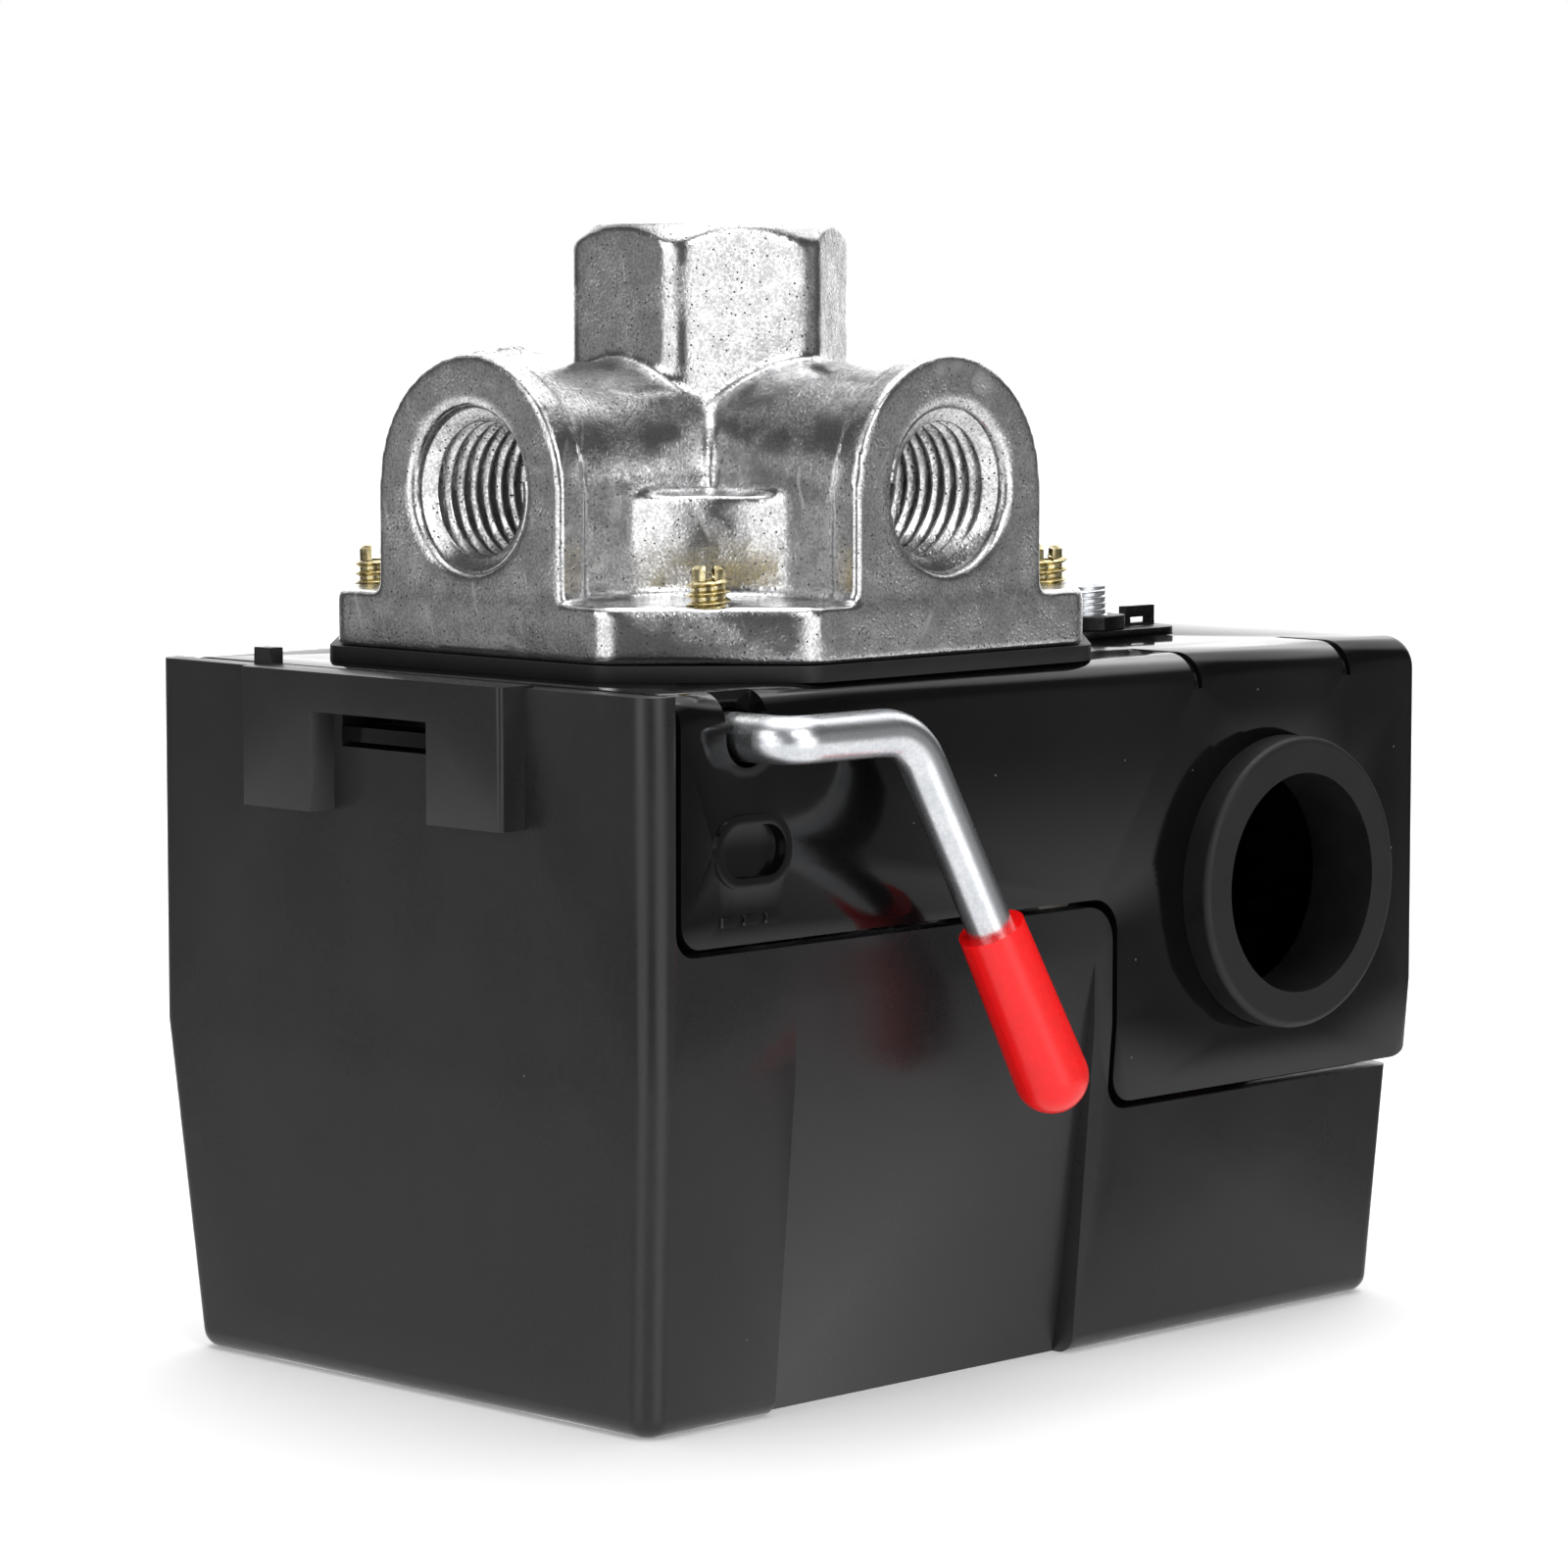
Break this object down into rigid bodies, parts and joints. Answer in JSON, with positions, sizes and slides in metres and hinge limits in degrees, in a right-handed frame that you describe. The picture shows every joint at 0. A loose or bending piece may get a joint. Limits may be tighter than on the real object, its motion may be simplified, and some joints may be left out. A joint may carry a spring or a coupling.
{
  "type": "pressure switch",
  "caption": "Compressor pressure switch: black two-part case, die-cast manifold with threaded ports, red-capped on/off lever and snap-action contacts driven by a diaphragm.",
  "frame": {"origin": "on the cover's flat outer face, on the axis of the inlet port", "axes": "+Z out of the inlet port, -Y towards the lever side, -X towards the latch side"},
  "size_m": [0.0965, 0.0718, 0.0943],
  "materials": {
    "case_black": "glossy moulded thermoplastic",
    "cover_black": "satin moulded thermoplastic",
    "rubber_black": "matte soft rubber",
    "die_cast": "bright die-cast skin with fine speckle",
    "yellow_zinc": "yellow passivated steel",
    "zinc_steel": "bright zinc plate",
    "black_steel": "black oxide",
    "spring_steel": "oiled spring wire",
    "phenolic": "dark phenolic moulding",
    "carrier_white": "natural nylon",
    "brass": "stamped brass",
    "silver_contact": "silver contact",
    "vinyl_red": "dipped soft vinyl",
    "earth_green": "green dyed zinc"
  },
  "bodies": {
    "housing": {"base_housing": "case_black", "cover": "cover_black", "cable_grommet_front": "rubber_black", "cable_grommet_back": "rubber_black", "manifold_casting": "die_cast", "diaphragm": "rubber_black", "flange_screws": "yellow_zinc", "mechanism_frame": "zinc_steel", "rocker_pin": "zinc_steel", "range_stud": "zinc_steel", "range_spring": "spring_steel", "trim_stud": "zinc_steel", "trim_spring": "spring_steel", "contact_block": "phenolic", "terminal_strips": "brass", "terminal_screws": "yellow_zinc", "fixed_contacts": "silver_contact", "carrier_return_spring": "spring_steel", "contact_block_screws": "zinc_steel", "unloader_bracket": "black_steel", "unloader_stud": "zinc_steel", "unloader_nut": "black_steel", "ground_screw": "earth_green"},
    "plunger": {"pressure_plunger": "zinc_steel"},
    "rocker": {"rocker_arm": "zinc_steel"},
    "carrier": {"contact_carrier": "carrier_white", "contact_bridges": "brass", "contact_springs": "spring_steel"},
    "lever": {"lever_rod": "zinc_steel", "lever_cap": "vinyl_red"},
    "range_seat": {"range_spring_seat": "zinc_steel"},
    "range_nut": {"range_nut": "zinc_steel"},
    "trim_seat": {"trim_spring_seat": "zinc_steel"},
    "trim_nut": {"trim_nut": "zinc_steel"}
  },
  "joints": [
    {"name": "plunger_travel", "type": "slide", "parent": "housing", "child": "plunger", "axis": [0, 0, -1], "range_m": [0, 0.001], "stiffness_N_per_m": 4000},
    {"name": "rocker_tilt", "type": "hinge", "parent": "housing", "child": "rocker", "pos_m": [-0.018, 0, 0.0395], "axis": [0, 1, 0], "range_deg": [0, 3.4], "deforming": ["range_spring", "trim_spring"]},
    {"name": "carrier_slide", "type": "slide", "parent": "housing", "child": "carrier", "axis": [0, 0, -1], "range_m": [0, 0.0034], "deforming": ["carrier_return_spring"]},
    {"name": "lever_pivot", "type": "hinge", "parent": "housing", "child": "lever", "pos_m": [-0.0254, -0.0343, 0.0546], "axis": [0, 1, 0], "range_deg": [0, 35]},
    {"name": "range_nut_turn", "type": "hinge", "parent": "range_seat", "child": "range_nut", "pos_m": [0.013, 0, 0.0162], "axis": [0, 0, 1], "range_deg": [-722, 722]},
    {"name": "range_seat_slide", "type": "slide", "parent": "housing", "child": "range_seat", "axis": [0, 0, 1], "range_m": [-0.0016, 0.0016]},
    {"name": "trim_nut_turn", "type": "hinge", "parent": "trim_seat", "child": "trim_nut", "pos_m": [0.0245, 0, 0.027], "axis": [0, 0, 1], "range_deg": [-722, 722]},
    {"name": "trim_seat_slide", "type": "slide", "parent": "housing", "child": "trim_seat", "axis": [0, 0, 1], "range_m": [-0.001, 0.001]}
  ],
  "couplings": [
    {"joint": "rocker_tilt", "follows": "plunger_travel", "rad_per_m": 55.556},
    {"joint": "carrier_slide", "follows": "plunger_travel", "ratio": 3.2778},
    {"joint": "range_nut_turn", "follows": "range_seat_slide", "rad_per_m": -7854},
    {"joint": "trim_nut_turn", "follows": "trim_seat_slide", "rad_per_m": -12566}
  ]
}
